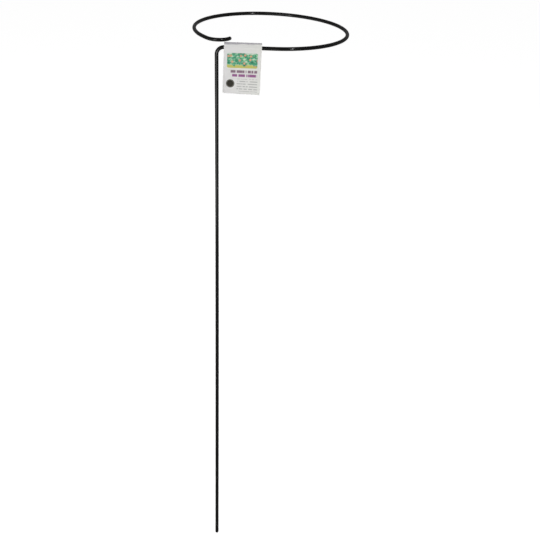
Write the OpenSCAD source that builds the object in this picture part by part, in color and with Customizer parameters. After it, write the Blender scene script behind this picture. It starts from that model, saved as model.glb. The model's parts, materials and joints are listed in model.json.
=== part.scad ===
// Plant support ring stake
// One length of plastic-coated steel wire: a straight stem that is pushed into the soil,
// a bend, a short straight stretch, an open ring and a small tail hook.
// A folded card tag hangs on the straight stretch.
// The origin is on the stem's axis at the soil line, +Z runs up the stem,
// +X runs along the straight stretch and the ring lies towards +Y. Sizes are in millimetres.

/* [Wire] */
// Diameter of the wire over its plastic coating
wire_d = 6; // [4:0.5:10]
// Thickness of the plastic coating
coating_t = 0.5; // [0.3:0.1:1]
// Height of the faint ridge that bending leaves where a bend ends
ridge_h = 0.02; // [0.01:0.01:0.1]

/* [Stem] */
// Height from the tip of the stem to the top of the wire at the bend
stake_h = 915; // [600:5:1200]
// Length of the stem that goes into the soil
soil_depth = 200; // [100:5:300]
// Radius of the bend above the stem, to the centre of the wire
bend_r = 11; // [8:0.5:30]
// Angle of the bend; the ring droops by what is over 90 degrees
bend_angle = 91.7; // [88:0.1:96]

/* [Ring] */
// Length of the straight stretch between the bend and the ring
straight_l = 79; // [60:1:140]
// Diameter of the ring, to the centre of the wire
ring_d = 250; // [200:5:400]
// Angle that the ring turns through
ring_arc = 304; // [285:1:315]
// Radius of the tail hook, to the centre of the wire
tail_r = 20; // [14:1:36]
// Angle that the tail hook turns through
tail_arc = 121; // [60:0.5:170]

/* [Tag] */
// Width of the tag along the wire
tag_w = 58; // [30:1:75]
// Height of the tag from its crease to its lower edge
tag_h = 81; // [60:1:120]
// Thickness of the card
card_t = 0.4; // [0.2:0.05:0.8]
// Radius of the tag's lower corners
corner_r = 1.5; // [0.5:0.5:6]
// Distance from the end of the bend to the tag; below zero the tag reaches over the bend
tag_gap = -0.5; // [-1.5:0.5:4]
// Height of the crease above the top of the wire
crease_rise = 5; // [2:0.5:10]
// Depth below the wire's centre at which the two leaves meet
throat_depth = 20; // [12:1:30]
// Clearance between the wire and the card
tag_clearance = 0.3; // [0.2:0.05:1]

/* [Adhesive] */
// Height of the adhesive strip
strip_h = 14; // [6:1:25]
// Thickness of the adhesive strip
strip_t = 0.15; // [0.1:0.05:0.4]
// Distance from the adhesive strip to the tag's lower and side edges
strip_margin = 3; // [1:0.5:8]

/* [Hidden] */
$fn = 96;

wire_r = wire_d / 2;
core_r = wire_r - coating_t;
ring_r = ring_d / 2;

// A ridge is a ball a touch larger than the wire, and the run beyond it starts this far past its centre
ridge_gap = sqrt(2 * core_r * ridge_h) / 3;

// Ends of the straight part of the stem; the ball on the tip reaches down to the full soil depth
stem_foot = wire_r + ridge_h - soil_depth;
stem_top = stake_h - soil_depth - wire_r - bend_r;
stem_l = stem_top - stem_foot;

// The ring's plane droops by what the bend is over a right angle
droop = bend_angle - 90;

// Direction from the ring's centre to the start of the tail hook
tail_start = ring_arc - 90;

// The leaves lie tangent to a circle round the wire, at one angle above it and another below it
sleeve_r = wire_r + tag_clearance;
outside_r = sleeve_r + card_t;
crease_h = wire_r + crease_rise;
upper_angle = asin(outside_r / crease_h);
lower_angle = asin((sleeve_r - strip_t / 2) / throat_depth);
leaf_bottom = crease_h - tag_h;

// The bend's own frame: its centre at the origin, the top of the stem on +x, the stem's direction on +y
module in_bend_frame() {
    translate([bend_r, 0, stem_top])
        rotate([90, 0, 180])
            children();
}

// Everything beyond the bend is drawn in the ring's plane: x along the straight stretch, z across the ring
module in_ring_plane() {
    translate([bend_r, 0, stem_top])
        rotate([0, droop, 0])
            translate([0, 0, bend_r])
                children();
}

// The tail hook's own frame: its centre at the origin, its start on +x
module in_tail_frame() {
    in_ring_plane()
        translate([straight_l, ring_r, 0])
            rotate([0, 0, tail_start])
                translate([ring_r - tail_r, 0, 0])
                    children();
}

// Round bar of radius r bent to a radius, on the angles from first to last
module bent_bar(r, bend_radius, first, last) {
    rotate_extrude(start = first, angle = last - first)
        translate([bend_radius, 0])
            circle(r = r);
}

// Round wire of radius r along the whole path, cut square at both ends
module wire_run(r) {
    translate([0, 0, stem_foot])
        cylinder(r = r, h = stem_l);
    in_bend_frame()
        bent_bar(r, bend_r, 0, bend_angle);
    in_ring_plane() {
        rotate([0, 90, 0]) {
            sphere(r = r + ridge_h);
            translate([0, 0, ridge_gap])
                cylinder(r = r, h = straight_l - ridge_gap);
        }
        translate([straight_l, ring_r, 0])
            rotate([0, 0, -90])
                bent_bar(r, ring_r, 0, ring_arc);
    }
    in_tail_frame() {
        translate([tail_r, 0, 0])
            rotate([90, 0, 0])
                sphere(r = r + ridge_h);
        bent_bar(r, tail_r, ridge_gap / tail_r * 180 / PI, tail_arc);
    }
}

// Point on one side of a leaf at which its upper and lower slopes meet, around a circle of radius r
function shoulder(r) =
    let (reach = r / cos((upper_angle + lower_angle) / 2))
    let (lift = (upper_angle - lower_angle) / 2)
    [reach * cos(lift), reach * sin(lift)];

// Height at which the lower slope around a circle of radius r comes in to the half width w
function throat_z(r, w) = (w * cos(lower_angle) - r) / sin(lower_angle);

// Outline of the leaf on +x, from the crease down its outside and up its inside
function leaf_outline() =
    let (inner = strip_t / 2)
    let (outer = inner + card_t)
    [
        [0, crease_h],
        shoulder(outside_r),
        [outer, throat_z(outside_r, outer)],
        [outer, leaf_bottom],
        [inner, leaf_bottom],
        [inner, throat_z(sleeve_r, inner)],
        shoulder(sleeve_r),
        [0, sleeve_r / sin(upper_angle)],
    ];

// The whole folded card seen along the wire: one leaf, then its mirror image back to the crease
module fold_outline() {
    leaf = leaf_outline();
    mirrored = [for (i = [len(leaf) - 2 : -1 : 1]) [-leaf[i][0], leaf[i][1]]];
    polygon(concat(leaf, mirrored));
}

// Front view of the tag: square at the crease, rounded at the two lower corners
module tag_face() {
    translate([0, leaf_bottom + corner_r])
        square([tag_w, tag_h - corner_r]);
    translate([corner_r, leaf_bottom])
        square([tag_w - 2 * corner_r, corner_r]);
    for (x = [corner_r, tag_w - corner_r])
        translate([x, leaf_bottom + corner_r])
            circle(r = corner_r);
}

// The tag's frame: x along the wire from the tag's near edge, z up from the wire's centre
module in_tag_frame() {
    in_ring_plane()
        translate([tag_gap, 0, 0])
            children();
}

module steel_core() {
    color("silver")
        wire_run(core_r);
}

module plastic_coating() {
    color([0.08, 0.08, 0.08])
        difference() {
            union() {
                wire_run(wire_r);
                translate([0, 0, stem_foot])
                    sphere(r = wire_r + ridge_h);
                in_tail_frame()
                    rotate([0, 0, tail_arc])
                        translate([tail_r, 0, 0])
                            rotate([90, 0, 0])
                                sphere(r = wire_r + ridge_h);
            }
            wire_run(core_r);
        }
}

module tag_card() {
    color([0.83, 0.82, 0.8])
        in_tag_frame()
            intersection() {
                rotate([90, 0, 90])
                    linear_extrude(height = tag_w)
                        fold_outline();
                translate([0, crease_h, 0])
                    rotate([90, 0, 0])
                        linear_extrude(height = 2 * crease_h)
                            tag_face();
            }
}

module tag_adhesive() {
    color([0.93, 0.9, 0.8])
        in_tag_frame()
            translate([strip_margin, -strip_t / 2, leaf_bottom + strip_margin])
                cube([tag_w - 2 * strip_margin, strip_t, strip_h]);
}

steel_core();
plastic_coating();
tag_card();
tag_adhesive();
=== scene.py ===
import json
from math import asin, atan2, cos, pi, radians, sin, sqrt

import bmesh
import bpy
from mathutils import Matrix, Vector


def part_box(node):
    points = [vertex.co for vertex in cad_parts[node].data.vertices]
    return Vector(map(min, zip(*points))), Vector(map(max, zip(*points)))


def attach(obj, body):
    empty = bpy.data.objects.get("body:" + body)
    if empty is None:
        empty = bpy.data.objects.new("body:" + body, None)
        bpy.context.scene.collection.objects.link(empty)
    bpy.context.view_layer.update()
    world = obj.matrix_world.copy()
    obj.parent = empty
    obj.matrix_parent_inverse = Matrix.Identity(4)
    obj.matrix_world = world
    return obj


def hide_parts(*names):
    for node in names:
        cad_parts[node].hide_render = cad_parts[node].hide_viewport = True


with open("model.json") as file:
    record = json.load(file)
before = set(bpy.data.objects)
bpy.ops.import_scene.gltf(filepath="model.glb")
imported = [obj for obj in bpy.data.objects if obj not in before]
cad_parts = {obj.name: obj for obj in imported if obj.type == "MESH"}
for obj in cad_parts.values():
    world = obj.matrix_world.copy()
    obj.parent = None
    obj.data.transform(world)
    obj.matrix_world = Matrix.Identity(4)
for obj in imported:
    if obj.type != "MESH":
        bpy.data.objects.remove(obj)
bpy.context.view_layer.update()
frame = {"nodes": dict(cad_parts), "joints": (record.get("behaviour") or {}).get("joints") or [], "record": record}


# Steel core
# Hard-drawn steel wire that gives the stake its stiffness.
# The plastic is drawn over it before the wire is cut and bent, so the steel never shows.


def new_surface(name):
    """Starts a material and gives it with its node tree and its surface shader."""
    surface = bpy.data.materials.new(name)
    surface.use_nodes = True
    return surface, surface.node_tree, surface.node_tree.nodes["Principled BSDF"]


def add_node(tree, kind, sockets, **settings):
    """Adds a shader node; a socket takes a plain value or the output of another node."""
    node = tree.nodes.new("ShaderNode" + kind)
    for name, value in settings.items():
        setattr(node, name, value)
    for key, value in sockets.items():
        if isinstance(value, bpy.types.NodeSocket):
            tree.links.new(value, node.inputs[key])
        else:
            node.inputs[key].default_value = value
    return node


def speckle(tree, place, grain, detail=2.0, stretch=(1, 1, 1)):
    """Soft noise from 0 to 1; its grains are a size in metres, drawn out along an axis by stretch."""
    drawn_out = add_node(tree, "Mapping", {"Vector": place, "Scale": stretch}).outputs["Vector"]
    noise = add_node(tree, "TexNoise", {"Vector": drawn_out, "Scale": 1 / grain, "Detail": detail})
    return noise.outputs["Fac"]


def spread(tree, value, low, high, start=0.35, end=0.65):
    """Spreads a value between start and end over the range from low to high."""
    sockets = {"Value": value, "From Min": start, "From Max": end, "To Min": low, "To Max": high}
    return add_node(tree, "MapRange", sockets).outputs["Result"]


def tint(tree, value, stops):
    """Turns a value into a colour by stops, each a position and a colour."""
    ramp = add_node(tree, "ValToRGB", {"Fac": value})
    while len(ramp.color_ramp.elements) < len(stops):
        ramp.color_ramp.elements.new(1.0)
    for element, (position, colour) in zip(ramp.color_ramp.elements, stops):
        element.position = position
        element.color = (*colour, 1)
    return ramp.outputs["Color"]


def relief(tree, height, depth, under=None):
    """A bump of a given depth in metres, laid over another bump where there is one."""
    sockets = {"Height": height, "Distance": depth, "Strength": 1.0}
    if under:
        sockets["Normal"] = under
    return add_node(tree, "Bump", sockets).outputs["Normal"]


dark_steel = (0.42, 0.42, 0.43)
light_steel = (0.6, 0.6, 0.61)

drawn_steel, tree, shader = new_surface("drawn_steel")
place = add_node(tree, "TexCoord", {}).outputs["Object"]
draw_marks = speckle(tree, place, grain=0.0004, detail=3.0, stretch=(1, 1, 0.02))
steel_colour = tint(tree, draw_marks, [(0.3, dark_steel), (0.7, light_steel)])
tree.links.new(steel_colour, shader.inputs["Base Color"])
tree.links.new(spread(tree, draw_marks, low=0.25, high=0.45), shader.inputs["Roughness"])
tree.links.new(relief(tree, draw_marks, depth=0.00001), shader.inputs["Normal"])
shader.inputs["Metallic"].default_value = 1.0

steel_core = frame["nodes"]["steel_core"]
steel_core.data.materials.clear()
steel_core.data.materials.append(drawn_steel)


# Plastic coating
# Black plastic, half a millimetre thick, drawn over the steel and closed over both of its ends.
# The coated wire is made straight. It is then bent cold at the top of the stem, round the ring
# and into the tail hook.

mounts = {mount["name"]: mount for mount in frame["record"]["mounts"]}
wire_r = mounts["stem"]["dims"]["r_mm"] / 1000
ring_centre = Vector(mounts["ring"]["pos_m"])
ring_axis = Vector(mounts["ring"]["axis"])
tip_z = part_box("plastic_coating")[0].z

bend_r = 0.011
straight_l = 0.079
ring_r = 0.125
ring_arc = radians(304)
tail_r = 0.02
tail_arc = radians(121)
droop = atan2(ring_axis.x, ring_axis.z)
bend_arc = pi / 2 + droop
stem_l = ring_centre.z + straight_l * sin(droop) - bend_r * cos(droop) - tip_z

# The wire's runs from the tip to the tail: length, bend radius, side that it bends to, steps
outward = Vector((1, 0, 0))
inward = Vector((0, 1, 0))
runs = [
    (stem_l, None, None, 60),
    (bend_r * bend_arc, bend_r, outward, 28),
    (straight_l, None, None, 12),
    (ring_r * ring_arc, ring_r, inward, 240),
    (tail_r * tail_arc, tail_r, inward, 48),
    (wire_r, None, None, 1),
]

# The stem is not quite straight: it bows out along its length and leans back towards the top
tip_offset = 0.00015
stem_bow = 0.00038
top_lean = 0.00057


def bent_place(station):
    """Place and turn of the wire's centre at a distance from the tip along the wire."""
    share = min(station / stem_l, 1)
    aside = tip_offset + stem_bow * sin(pi * share) - top_lean * share**3
    place = Matrix.Translation((aside, 0, tip_z))
    for length, radius, side, _ in runs:
        part = min(station, length)
        station -= part
        if radius:
            pivot = Matrix.Translation(radius * side)
            bend = Matrix.Rotation(part / radius, 4, Vector((0, 0, 1)).cross(side))
            place = place @ pivot @ bend @ pivot.inverted()
        else:
            place = place @ Matrix.Translation((0, 0, part))
    return place


def make_piece(mesh, name, surfaces):
    """Turns a bmesh into an object with smooth faces, sharp open edges and the given surfaces."""
    for face in mesh.faces:
        face.smooth = True
    for edge in mesh.edges:
        edge.smooth = not edge.is_boundary
    data = bpy.data.meshes.new(name)
    mesh.to_mesh(data)
    mesh.free()
    piece = bpy.data.objects.new(name, data)
    bpy.context.scene.collection.objects.link(piece)
    for surface in surfaces:
        data.materials.append(surface)
    return piece


# The ends are domed by a rounding of nearly the whole radius
wire_sides = 32
dome_steps = 8
dome_share = 0.97

tube = bmesh.new()
bmesh.ops.create_circle(tube, segments=wire_sides, radius=wire_r)
front = tube.edges[:]
for length, _, _, steps in runs:
    for _ in range(steps):
        grown = bmesh.ops.extrude_edge_only(tube, edges=front)["geom"]
        points = [part for part in grown if isinstance(part, bmesh.types.BMVert)]
        edges = [part for part in grown if isinstance(part, bmesh.types.BMEdge)]
        front = [edge for edge in edges if edge.is_boundary]
        bmesh.ops.translate(tube, verts=points, vec=(0, 0, length / steps))
bmesh.ops.holes_fill(tube, edges=tube.edges)
rims = [edge for face in tube.faces if len(face.verts) == wire_sides for edge in face.edges]
bmesh.ops.bevel(
    tube,
    geom=rims,
    offset=dome_share * wire_r,
    affect="EDGES",
    segments=dome_steps,
    profile=0.5,
    material=-1,
)
bmesh.ops.recalc_face_normals(tube, faces=tube.faces)

# Each point keeps its place on the straight wire, so that the finish runs along the bent one
straight_place = tube.verts.layers.float_vector.new("straight_wire")
for point in tube.verts:
    point[straight_place] = point.co
    point.co = bent_place(point.co.z) @ Vector((point.co.x, point.co.y, 0))

# All of the gloss is in a thin clear coat, which is weaker where the plastic is hazy
deep_black = (0.0015, 0.0015, 0.0014)
hazy_black = (0.003, 0.003, 0.0029)

black_plastic, tree, shader = new_surface("black_plastic")
place = add_node(tree, "Attribute", {}, attribute_name="straight_wire").outputs["Vector"]
die_lines = speckle(tree, place, grain=0.0007, detail=3.0, stretch=(1, 1, 0.015))
orange_peel = speckle(tree, place, grain=0.0016, detail=2.0, stretch=(1, 1, 0.6))
haze = speckle(tree, place, grain=0.012, detail=4.0, stretch=(1, 1, 0.25))
black = tint(tree, haze, [(0.35, deep_black), (0.7, hazy_black)])
tree.links.new(black, shader.inputs["Base Color"])
tree.links.new(spread(tree, haze, low=0.135, high=0.095), shader.inputs["Coat Weight"])
peeled = relief(tree, orange_peel, depth=0.000004)
skin = relief(tree, die_lines, depth=0.000002, under=peeled)
tree.links.new(skin, shader.inputs["Normal"])
tree.links.new(skin, shader.inputs["Coat Normal"])
shader.inputs["Roughness"].default_value = 0.5
shader.inputs["Specular IOR Level"].default_value = 0.0
shader.inputs["Coat Roughness"].default_value = 0.13
shader.inputs["Coat IOR"].default_value = 1.6

coating = make_piece(tube, "coating", [black_plastic])
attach(coating, "wire")
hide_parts("plastic_coating")


# Card tag
# One strip of pale grey board, printed on its outside and creased across the middle.
# It hangs over the straight stretch of the wire, with a leaf on each side.

hinge = frame["joints"][0]
tag_w = 0.058
tag_h = 0.081
card_t = 0.0004
glue_t = 0.00015
wire_clearance = 0.0003
crease_rise = 0.005
throat_depth = 0.02
corner_r = 0.0015
sleeve_r = wire_r + wire_clearance + card_t
crease_h = wire_r + crease_rise
leaf_bottom = crease_h - tag_h
hang_y = glue_t / 2 + card_t

# The leaves leave a small round crease, lie against the sleeve around the wire and close below it
crease_r = 0.0005
throat_r = 0.015
upper_angle = asin((sleeve_r - crease_r) / (crease_h - crease_r))
lower_angle = asin((sleeve_r - hang_y) / throat_depth)
upper_l = sqrt((crease_h - crease_r) ** 2 - (sleeve_r - crease_r) ** 2)
lower_reach = sleeve_r * cos(lower_angle) - throat_r * (1 - cos(lower_angle)) - hang_y
lower_l = lower_reach / sin(lower_angle)
throat_end = (sleeve_r + throat_r) * sin(lower_angle) + lower_l * cos(lower_angle)


def round_fold(start, radius, turn, lines):
    """Score lines of a rounded fold: how far each lies from the crease, and the turn at it."""
    step = radius * abs(turn) / lines
    return [(start + (line + 0.5) * step, turn / lines) for line in range(lines)]


crease_turn = pi / 2 - upper_angle
shoulder_turn = upper_angle + lower_angle
shoulder_at = crease_r * crease_turn + upper_l
throat_at = shoulder_at + sleeve_r * shoulder_turn + lower_l
hang_at = throat_at + throat_r * lower_angle
leaf_l = hang_at - leaf_bottom - throat_end
hang_rows = 16
folds = round_fold(0, crease_r, crease_turn, lines=6)
folds += round_fold(shoulder_at, sleeve_r, shoulder_turn, lines=10)
folds += round_fold(throat_at, throat_r, -lower_angle, lines=6)
folds += [(hang_at + (leaf_l - hang_at) * row / hang_rows, 0) for row in range(hang_rows)]

tag_columns = 24
corner_steps = 6

card = bmesh.new()
bmesh.ops.create_grid(card, x_segments=tag_columns, y_segments=1, size=1)
bmesh.ops.scale(card, vec=(tag_w / 2, leaf_l, 1), verts=card.verts)
corners = [point for point in card.verts if len(point.link_edges) == 2]
bmesh.ops.bevel(
    card,
    geom=corners,
    offset=corner_r,
    affect="VERTICES",
    segments=corner_steps,
    profile=0.5,
    material=-1,
)
for distance, _ in folds:
    for side in (-1, 1):
        whole = card.verts[:] + card.edges[:] + card.faces[:]
        line = (0, side * distance, 0)
        bmesh.ops.bisect_plane(card, geom=whole, plane_co=line, plane_no=(0, 1, 0))

# Each point keeps its place on the flat card, so that the print folds with it
flat_place = card.verts.layers.float_vector.new("flat_card")
for point in card.verts:
    point[flat_place] = point.co

# The outermost lines fold first, the front leaf to the near side and the back leaf to the far side
hair = 0.000001
for distance, turn in reversed(folds):
    for side in (-1, 1):
        beyond = [point for point in card.verts if side * point[flat_place].y > distance + hair]
        fold = Matrix.Rotation(-side * turn, 3, "X")
        bmesh.ops.rotate(card, cent=(0, side * distance, 0), matrix=fold, verts=beyond)

# Between the throat and the adhesive the front leaf stands out a little from the back one
bulge = 0.0004
bulge_share = 0.6
bulge_l = bulge_share * (leaf_l - hang_at)
for point in card.verts:
    down = -point[flat_place].y - hang_at
    if 0 < down < bulge_l:
        point.co.y -= bulge * sin(pi * down / bulge_l) ** 2

# Below the throat the card has taken a slight twist
card_twist = radians(-6.2)
tag_place = Matrix.Translation(hinge["pos_m"]) @ Matrix.Rotation(droop, 4, "Y")


def hang(point):
    """Brings a point of the straight tag, seen from the wire's centre, to the hanging one."""
    share = min(max((point.z + throat_depth) / (leaf_bottom + throat_depth), 0), 1)
    twist = Matrix.Rotation(card_twist * share * share * (3 - 2 * share), 4, "Z")
    return tag_place @ twist @ point


for point in card.verts:
    point.co = hang(point.co + Vector((0, 0, crease_h)))

dark_pulp = (0.58, 0.56, 0.52)
light_pulp = (0.7, 0.68, 0.64)

bare_board, tree, shader = new_surface("bare_board")
place = add_node(tree, "Attribute", {}, attribute_name="flat_card").outputs["Vector"]
fibres = speckle(tree, place, grain=0.0004, detail=4.0, stretch=(1, 0.4, 1))
pulp = tint(tree, fibres, [(0.3, dark_pulp), (0.7, light_pulp)])
tree.links.new(pulp, shader.inputs["Base Color"])
tree.links.new(relief(tree, fibres, depth=0.00002), shader.inputs["Normal"])
shader.inputs["Roughness"].default_value = 0.85


def calc(tree, operation, *values):
    """The result of a Math node on plain values or outputs."""
    return add_node(tree, "Math", dict(enumerate(values)), operation=operation).outputs[0]


def vector_calc(tree, operation, *values):
    """The result of a Vector Math node, a vector or, for a length or a distance, a number."""
    node = add_node(tree, "VectorMath", dict(enumerate(values)), operation=operation)
    return node.outputs["Value" if operation in ("LENGTH", "DISTANCE") else "Vector"]


def in_box(tree, place, centre, size, corner=0.3):
    """1 inside a rounded box on the card and 0 outside it; sizes in millimetres."""
    soft = 0.1
    reach = vector_calc(tree, "ABSOLUTE", vector_calc(tree, "SUBTRACT", place, (*centre, 0)))
    core = (size[0] / 2 - corner, size[1] / 2 - corner, 0)
    beyond = vector_calc(tree, "MAXIMUM", vector_calc(tree, "SUBTRACT", reach, core), (0, 0, 0))
    outside = vector_calc(tree, "LENGTH", beyond)
    return spread(tree, outside, low=1, high=0, start=corner - soft, end=corner + soft)


def in_disc(tree, place, centre, radius):
    """1 inside a disc on the card and 0 outside it; sizes in millimetres."""
    soft = 0.15
    reach = vector_calc(tree, "DISTANCE", place, (*centre, 0))
    return spread(tree, reach, low=1, high=0, start=radius - soft, end=radius + soft)


def dashes(tree, place, pitch, height, length):
    """Rows of plain dashes of uneven length: 1 on a dash and 0 elsewhere; sizes in millimetres."""
    row_shift = 3.7
    axes = add_node(tree, "SeparateXYZ", {"Vector": place}).outputs
    row = calc(tree, "DIVIDE", axes["Y"], pitch)
    from_middle = calc(tree, "ABSOLUTE", calc(tree, "SUBTRACT", calc(tree, "FRACT", row), 0.5))
    share = height / pitch
    on_row = spread(tree, from_middle, low=1, high=0, start=0.4 * share, end=0.6 * share)
    row_place = {
        "X": calc(tree, "DIVIDE", axes["X"], length),
        "Y": calc(tree, "MULTIPLY", calc(tree, "FLOOR", row), row_shift),
    }
    along = add_node(tree, "CombineXYZ", row_place).outputs["Vector"]
    noise = add_node(tree, "TexNoise", {"Vector": along, "Scale": 1.0, "Detail": 1.0}).outputs["Fac"]
    on_dash = spread(tree, noise, low=0, high=1, start=0.4, end=0.43)
    return calc(tree, "MULTIPLY", on_row, on_dash)


def ink(tree, under, colour, cover):
    """Lays a colour over another one where cover is 1."""
    return add_node(tree, "Mix", {0: cover, 6: under, 7: colour}, data_type="RGBA").outputs[2]


# The print is laid out in millimetres, across from the middle of the tag and down from the crease;
# places on the front leaf are positive and those on the back leaf negative
printed_board, tree, shader = new_surface("printed_board")
place = add_node(tree, "Attribute", {}, attribute_name="flat_card").outputs["Vector"]
spot = add_node(tree, "Mapping", {"Vector": place, "Scale": (1000, -1000, 0)}).outputs["Vector"]
axes = add_node(tree, "SeparateXYZ", {"Vector": spot}).outputs

# The board's tone changes a little from its left edge to its right one
left_board = (0.625, 0.612, 0.62)
right_board = (0.635, 0.64, 0.6)
half_w = tag_w * 1000 / 2
fibres = speckle(tree, place, grain=0.0004, detail=4.0, stretch=(1, 0.4, 1))
cockle = speckle(tree, place, grain=0.015, detail=1.0)
across = spread(tree, axes["X"], low=0, high=0.6, start=-half_w, end=half_w)
toning = calc(tree, "ADD", across, spread(tree, fibres, low=0, high=0.4))
board = tint(tree, toning, [(0.0, left_board), (1.0, right_board)])

# Picture: rows of leaves on stems with blossoms among them, over a strip of straw
picture_centre = (0, 29)
picture_size = (47, 24)
picture_corner = 2.5
stem_pitch = 6
blade_pitch = 4.5
blade_offset = 1.5
blade_lean = radians(40)
half_blade_l = 2.2
half_blade_w = 1.1
blossoms_per_mm = 0.11
hedge_stops = [(0.35, (0.035, 0.15, 0.09)), (0.5, (0.16, 0.4, 0.25)), (0.65, (0.52, 0.58, 0.5))]
blade_stops = [(0.38, (0.05, 0.28, 0.14)), (0.5, (0.045, 0.25, 0.15)), (0.62, (0.24, 0.56, 0.26))]
petal_pink = (0.5, 0.24, 0.19, 1)
middle_yellow = (0.62, 0.5, 0.14, 1)
straw_yellow = (0.45, 0.44, 0.12, 1)
straw_y = 37
straw_soft = 0.5

cells = vector_calc(tree, "DIVIDE", spot, (stem_pitch, blade_pitch, 1))
cell = add_node(tree, "SeparateXYZ", {"Vector": cells}).outputs
from_stem = calc(tree, "ABSOLUTE", calc(tree, "SUBTRACT", calc(tree, "FRACT", cell["X"]), 0.5))
from_blade = calc(tree, "SUBTRACT", calc(tree, "FRACT", cell["Y"]), 0.5)
blade_place = {
    "X": calc(tree, "SUBTRACT", calc(tree, "MULTIPLY", from_stem, stem_pitch), blade_offset),
    "Y": calc(tree, "MULTIPLY", from_blade, blade_pitch),
}
blade_spot = add_node(tree, "CombineXYZ", blade_place).outputs["Vector"]
leaning = {"Vector": blade_spot, "Rotation": (0, 0, blade_lean)}
turned = add_node(tree, "Mapping", leaning).outputs["Vector"]
blade = add_node(tree, "SeparateXYZ", {"Vector": turned}).outputs
along_blade = calc(tree, "ABSOLUTE", calc(tree, "DIVIDE", blade["X"], half_blade_l))
taper = calc(tree, "SUBTRACT", 1.0, calc(tree, "POWER", along_blade, 2.0))
blade_edge = calc(tree, "MULTIPLY", taper, half_blade_w)
inside_edge = calc(tree, "SUBTRACT", blade_edge, calc(tree, "ABSOLUTE", blade["Y"]))
on_blade = spread(tree, inside_edge, low=0, high=1, start=-0.1, end=0.1)
bed = speckle(tree, place, grain=0.007, detail=2.0)
hedge = tint(tree, bed, hedge_stops)
picture = ink(tree, hedge, tint(tree, bed, blade_stops), on_blade)
scatter = {"Vector": spot, "Scale": blossoms_per_mm, "Randomness": 0.8}
petals = add_node(tree, "TexVoronoi", scatter, voronoi_dimensions="2D").outputs["Distance"]
on_petals = spread(tree, petals, low=1, high=0, start=0.19, end=0.22)
picture = ink(tree, picture, petal_pink, on_petals)
on_middle = spread(tree, petals, low=1, high=0, start=0.07, end=0.1)
picture = ink(tree, picture, middle_yellow, on_middle)
straw_top = calc(tree, "ADD", axes["Y"], spread(tree, bed, low=-2, high=2))
straw_start = straw_y - straw_soft
straw_end = straw_y + straw_soft
on_straw = spread(tree, straw_top, low=0, high=1, start=straw_start, end=straw_end)
picture = ink(tree, picture, straw_yellow, on_straw)
in_picture = in_box(tree, spot, picture_centre, picture_size, picture_corner)
printed = ink(tree, board, picture, in_picture)

# Two rows of plain bars under the picture, the upper one greyer than the lower
bars_centre = (3, 49.6)
bars_size = (41, 12.4)
upper_row_y = 46
lower_row_y = 53
upper_bar = (0.2, 0.14, 0.17)
lower_bar = (0.27, 0.1, 0.24)
bars = dashes(tree, spot, pitch=6.2, height=4.2, length=3.4)
on_bars = calc(tree, "MULTIPLY", bars, in_box(tree, spot, bars_centre, bars_size))
bar_share = spread(tree, axes["Y"], low=0, high=1, start=upper_row_y, end=lower_row_y)
bar_colour = tint(tree, bar_share, [(0, upper_bar), (1, lower_bar)])
printed = ink(tree, printed, bar_colour, on_bars)

# Blocks of small grey dashes, one on each leaf
front_block_centre = (8.5, 68)
front_block_size = (32, 20)
back_block_centre = (0, -38)
back_block_size = (42, 20)
dash_grey = (0.36, 0.36, 0.35, 1)
small_dashes = dashes(tree, spot, pitch=4, height=1.4, length=2.4)
in_front_block = in_box(tree, spot, front_block_centre, front_block_size)
printed = ink(tree, printed, dash_grey, calc(tree, "MULTIPLY", small_dashes, in_front_block))
in_back_block = in_box(tree, spot, back_block_centre, back_block_size)
printed = ink(tree, printed, dash_grey, calc(tree, "MULTIPLY", small_dashes, in_back_block))

# A plain dark disc with a thin paler ring in it
disc_centre = (-17.5, 66)
disc_r = 6.5
outer_ring_r = 5.6
inner_ring_r = 5.1
disc_dark = (0.02, 0.018, 0.013, 1)
disc_pale = (0.2, 0.19, 0.16, 1)
printed = ink(tree, printed, disc_dark, in_disc(tree, spot, disc_centre, disc_r))
printed = ink(tree, printed, disc_pale, in_disc(tree, spot, disc_centre, outer_ring_r))
printed = ink(tree, printed, disc_dark, in_disc(tree, spot, disc_centre, inner_ring_r))

# Painted shade: the board is painted a darker grey along the crease, more widely in some places than in others
crease_shade_grey = (0.3, 0.29, 0.315, 1)
uneven = spread(tree, cockle, low=-0.8, high=0.8)
from_crease = calc(tree, "ADD", calc(tree, "ABSOLUTE", axes["Y"]), uneven)
painted_crease_shade = spread(tree, from_crease, low=0.9, high=0, start=1.9, end=4.1)
printed = ink(tree, printed, crease_shade_grey, painted_crease_shade)
tree.links.new(printed, shader.inputs["Base Color"])
cockled = relief(tree, cockle, depth=0.00015)
tree.links.new(relief(tree, fibres, depth=0.00001, under=cockled), shader.inputs["Normal"])
tree.links.new(spread(tree, fibres, low=0.55, high=0.7), shader.inputs["Roughness"])
shader.inputs["Specular IOR Level"].default_value = 0.06

tag = make_piece(card, "tag", [printed_board, bare_board])
thickness = tag.modifiers.new("thickness", "SOLIDIFY")
thickness.thickness = card_t
thickness.offset = -1
thickness.use_even_offset = True
thickness.material_offset = 1
thickness.material_offset_rim = 1
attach(tag, "tag")
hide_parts("tag_card")


# Tag adhesive
# A thin strip of clear adhesive between the two leaves, near their lower edge.
# It is pressed flat when the tag is closed over the wire.

dark_glue = (0.7, 0.66, 0.5)
light_glue = (0.82, 0.79, 0.66)

clear_glue, tree, shader = new_surface("clear_glue")
place = add_node(tree, "TexCoord", {}).outputs["Object"]
smears = speckle(tree, place, grain=0.004, detail=3.0, stretch=(0.4, 1, 1))
glue_colour = tint(tree, smears, [(0.3, dark_glue), (0.7, light_glue)])
tree.links.new(glue_colour, shader.inputs["Base Color"])
tree.links.new(spread(tree, smears, low=0.25, high=0.5), shader.inputs["Roughness"])
tree.links.new(relief(tree, smears, depth=0.00003), shader.inputs["Normal"])

strip_w = 0.052
strip_h = 0.014
strip_margin = 0.003
strip_rows = 8
strip_z = leaf_bottom + strip_margin + strip_h / 2

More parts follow.
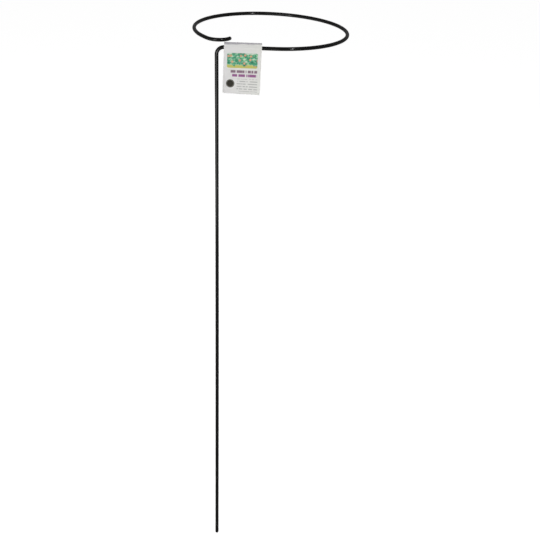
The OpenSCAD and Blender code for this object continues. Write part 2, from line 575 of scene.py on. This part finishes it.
strip = bmesh.new()
bmesh.ops.create_grid(strip, x_segments=tag_columns, y_segments=strip_rows, size=0.5)
bmesh.ops.scale(strip, vec=(strip_w, strip_h, 1), verts=strip.verts)
bmesh.ops.rotate(strip, matrix=Matrix.Rotation(pi / 2, 3, "X"), verts=strip.verts)
for point in strip.verts:
    point.co = hang(point.co + Vector((0, 0, strip_z)))

adhesive = make_piece(strip, "adhesive", [clear_glue])
film = adhesive.modifiers.new("film", "SOLIDIFY")
film.thickness = glue_t
film.offset = 0
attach(adhesive, "tag")
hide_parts("tag_adhesive")


# Floor and backdrop
# A plain white studio floor at the level of the tip, wide enough to fill the view, and a white
# surround. Both are lifted to white where the camera or a gloss sees them, the floor more so
# farther out, where the lamps reach it less. The floor still takes the shadow.


def seen_directly(tree):
    """1 for rays from the camera, from gloss and through glass, and 0 for the rest."""
    path = add_node(tree, "LightPath", {}).outputs
    seen_or_mirrored = calc(tree, "MAXIMUM", path["Is Camera Ray"], path["Is Glossy Ray"])
    return calc(tree, "MAXIMUM", seen_or_mirrored, path["Is Transmission Ray"])


floor_r = 14.0
floor_sides = 96
floor_white = (0.82, 0.82, 0.82, 1)
near_lift = 0.54
far_lift = 0.89
near_reach = 0.8
far_reach = 1.6

floor_mesh = bmesh.new()
bmesh.ops.create_circle(floor_mesh, cap_ends=True, segments=floor_sides, radius=floor_r)
bmesh.ops.translate(floor_mesh, vec=(0, 0, tip_z), verts=floor_mesh.verts)
floor_paper, tree, shader = new_surface("floor_paper")
place = add_node(tree, "TexCoord", {}).outputs["Object"]
paper_grain = speckle(tree, place, grain=0.5)
tree.links.new(spread(tree, paper_grain, low=0.75, high=0.85), shader.inputs["Roughness"])
shader.inputs["Base Color"].default_value = floor_white
shader.inputs["Specular IOR Level"].default_value = 0.0
shader.inputs["Emission Color"].default_value = (1, 1, 1, 1)
from_stake = vector_calc(tree, "LENGTH", place)
wanted = spread(tree, from_stake, low=near_lift, high=far_lift, start=near_reach, end=far_reach)
lift = calc(tree, "MULTIPLY", seen_directly(tree), wanted)
tree.links.new(lift, shader.inputs["Emission Strength"])
floor = make_piece(floor_mesh, "floor", [floor_paper])

surround = bpy.data.worlds.new("surround")
surround.use_nodes = True
bpy.context.scene.world = surround
tree = surround.node_tree
ambient = 0.1
sky = tree.nodes["Background"]
sky.inputs["Color"].default_value = (1, 1, 1, 1)
level = spread(tree, seen_directly(tree), low=ambient, high=1.0, start=0.0, end=1.0)
tree.links.new(level, sky.inputs["Strength"])


# Lamps
# Softboxes around the stake, none of them seen by the camera. The key one above the camera and
# the one behind light only matt surfaces. The low one in front, the panel that faces the bend and
# the narrow lamp for the glints show only in the gloss, and the low one on the left does both.


def softbox(name, place, aim, width, height, brightness):
    """A rectangular area lamp at a place, turned to its aim; brightness is the level of its face."""
    lamp = bpy.data.lights.new(name, "AREA")
    lamp.shape = "RECTANGLE"
    lamp.size = width
    lamp.size_y = height
    lamp.energy = brightness * pi * width * height
    stand = bpy.data.objects.new(name, lamp)
    bpy.context.scene.collection.objects.link(stand)
    turn = (Vector(aim) - Vector(place)).to_track_quat("-Z", "Y").to_matrix().to_4x4()
    stand.matrix_world = Matrix.Translation(place) @ turn
    stand.visible_camera = False
    return stand


key_softbox = softbox(
    "key_softbox",
    place=(0.1, -1.5, 1.75),
    aim=(0.04, 0, 0.68),
    width=1.2,
    height=0.8,
    brightness=9.6,
)
key_softbox.visible_glossy = False

front_softbox = softbox(
    "front_softbox",
    place=(-0.36, -1.46, 0.075),
    aim=(0, 0, 0.075),
    width=1.34,
    height=0.55,
    brightness=8.3,
)
front_softbox.visible_diffuse = False

softbox(
    "left_softbox",
    place=(-1.43, -0.46, 0.075),
    aim=(0, 0, 0.075),
    width=2.18,
    height=0.55,
    brightness=5.0,
)

glint_lamp = softbox(
    "glint_lamp",
    place=(1.18, -1.88, 1.45),
    aim=(0.09, 0.125, 0.71),
    width=0.1,
    height=0.9,
    brightness=165.0,
)
glint_lamp.visible_diffuse = False

bend_panel = softbox(
    "bend_panel",
    place=(-0.665, -1.45, 0.62),
    aim=(0, 0, 0.7),
    width=0.7,
    height=0.5,
    brightness=36.0,
)
bend_panel.visible_diffuse = False

back_softbox = softbox(
    "back_softbox",
    place=(0.3, 2.0, 1.6),
    aim=(0, 0, 0.6),
    width=2.4,
    height=1.2,
    brightness=4.8,
)
back_softbox.visible_glossy = False


# Camera
# It stands in front of the stake, higher than the ring, and looks down with a slight roll.
# Its place and its focal length come from a fit to the centre line of the wire.

picture_width = 540
focal_pixels = 1152.8
sensor_width = 36.0
camera_aim = Vector((0.0886, 0, 0.3362))
camera_distance = 1.9242
camera_azimuth = radians(3.71)
camera_pitch = radians(24.72)
camera_roll = radians(1.21)

lens = bpy.data.cameras.new("camera")
lens.sensor_width = sensor_width
lens.lens = focal_pixels / picture_width * sensor_width
lens.clip_end = 4 * floor_r
camera = bpy.data.objects.new("camera", lens)
bpy.context.scene.collection.objects.link(camera)
facing = Matrix.Rotation(-camera_azimuth, 4, "Z") @ Matrix.Rotation(pi / 2 - camera_pitch, 4, "X")
held = facing @ Matrix.Rotation(camera_roll, 4, "Z")
stepped_back = held @ Matrix.Translation((0, 0, camera_distance))
camera.matrix_world = Matrix.Translation(camera_aim) @ stepped_back
bpy.context.scene.camera = camera
bpy.context.scene.view_settings.view_transform = "Standard"
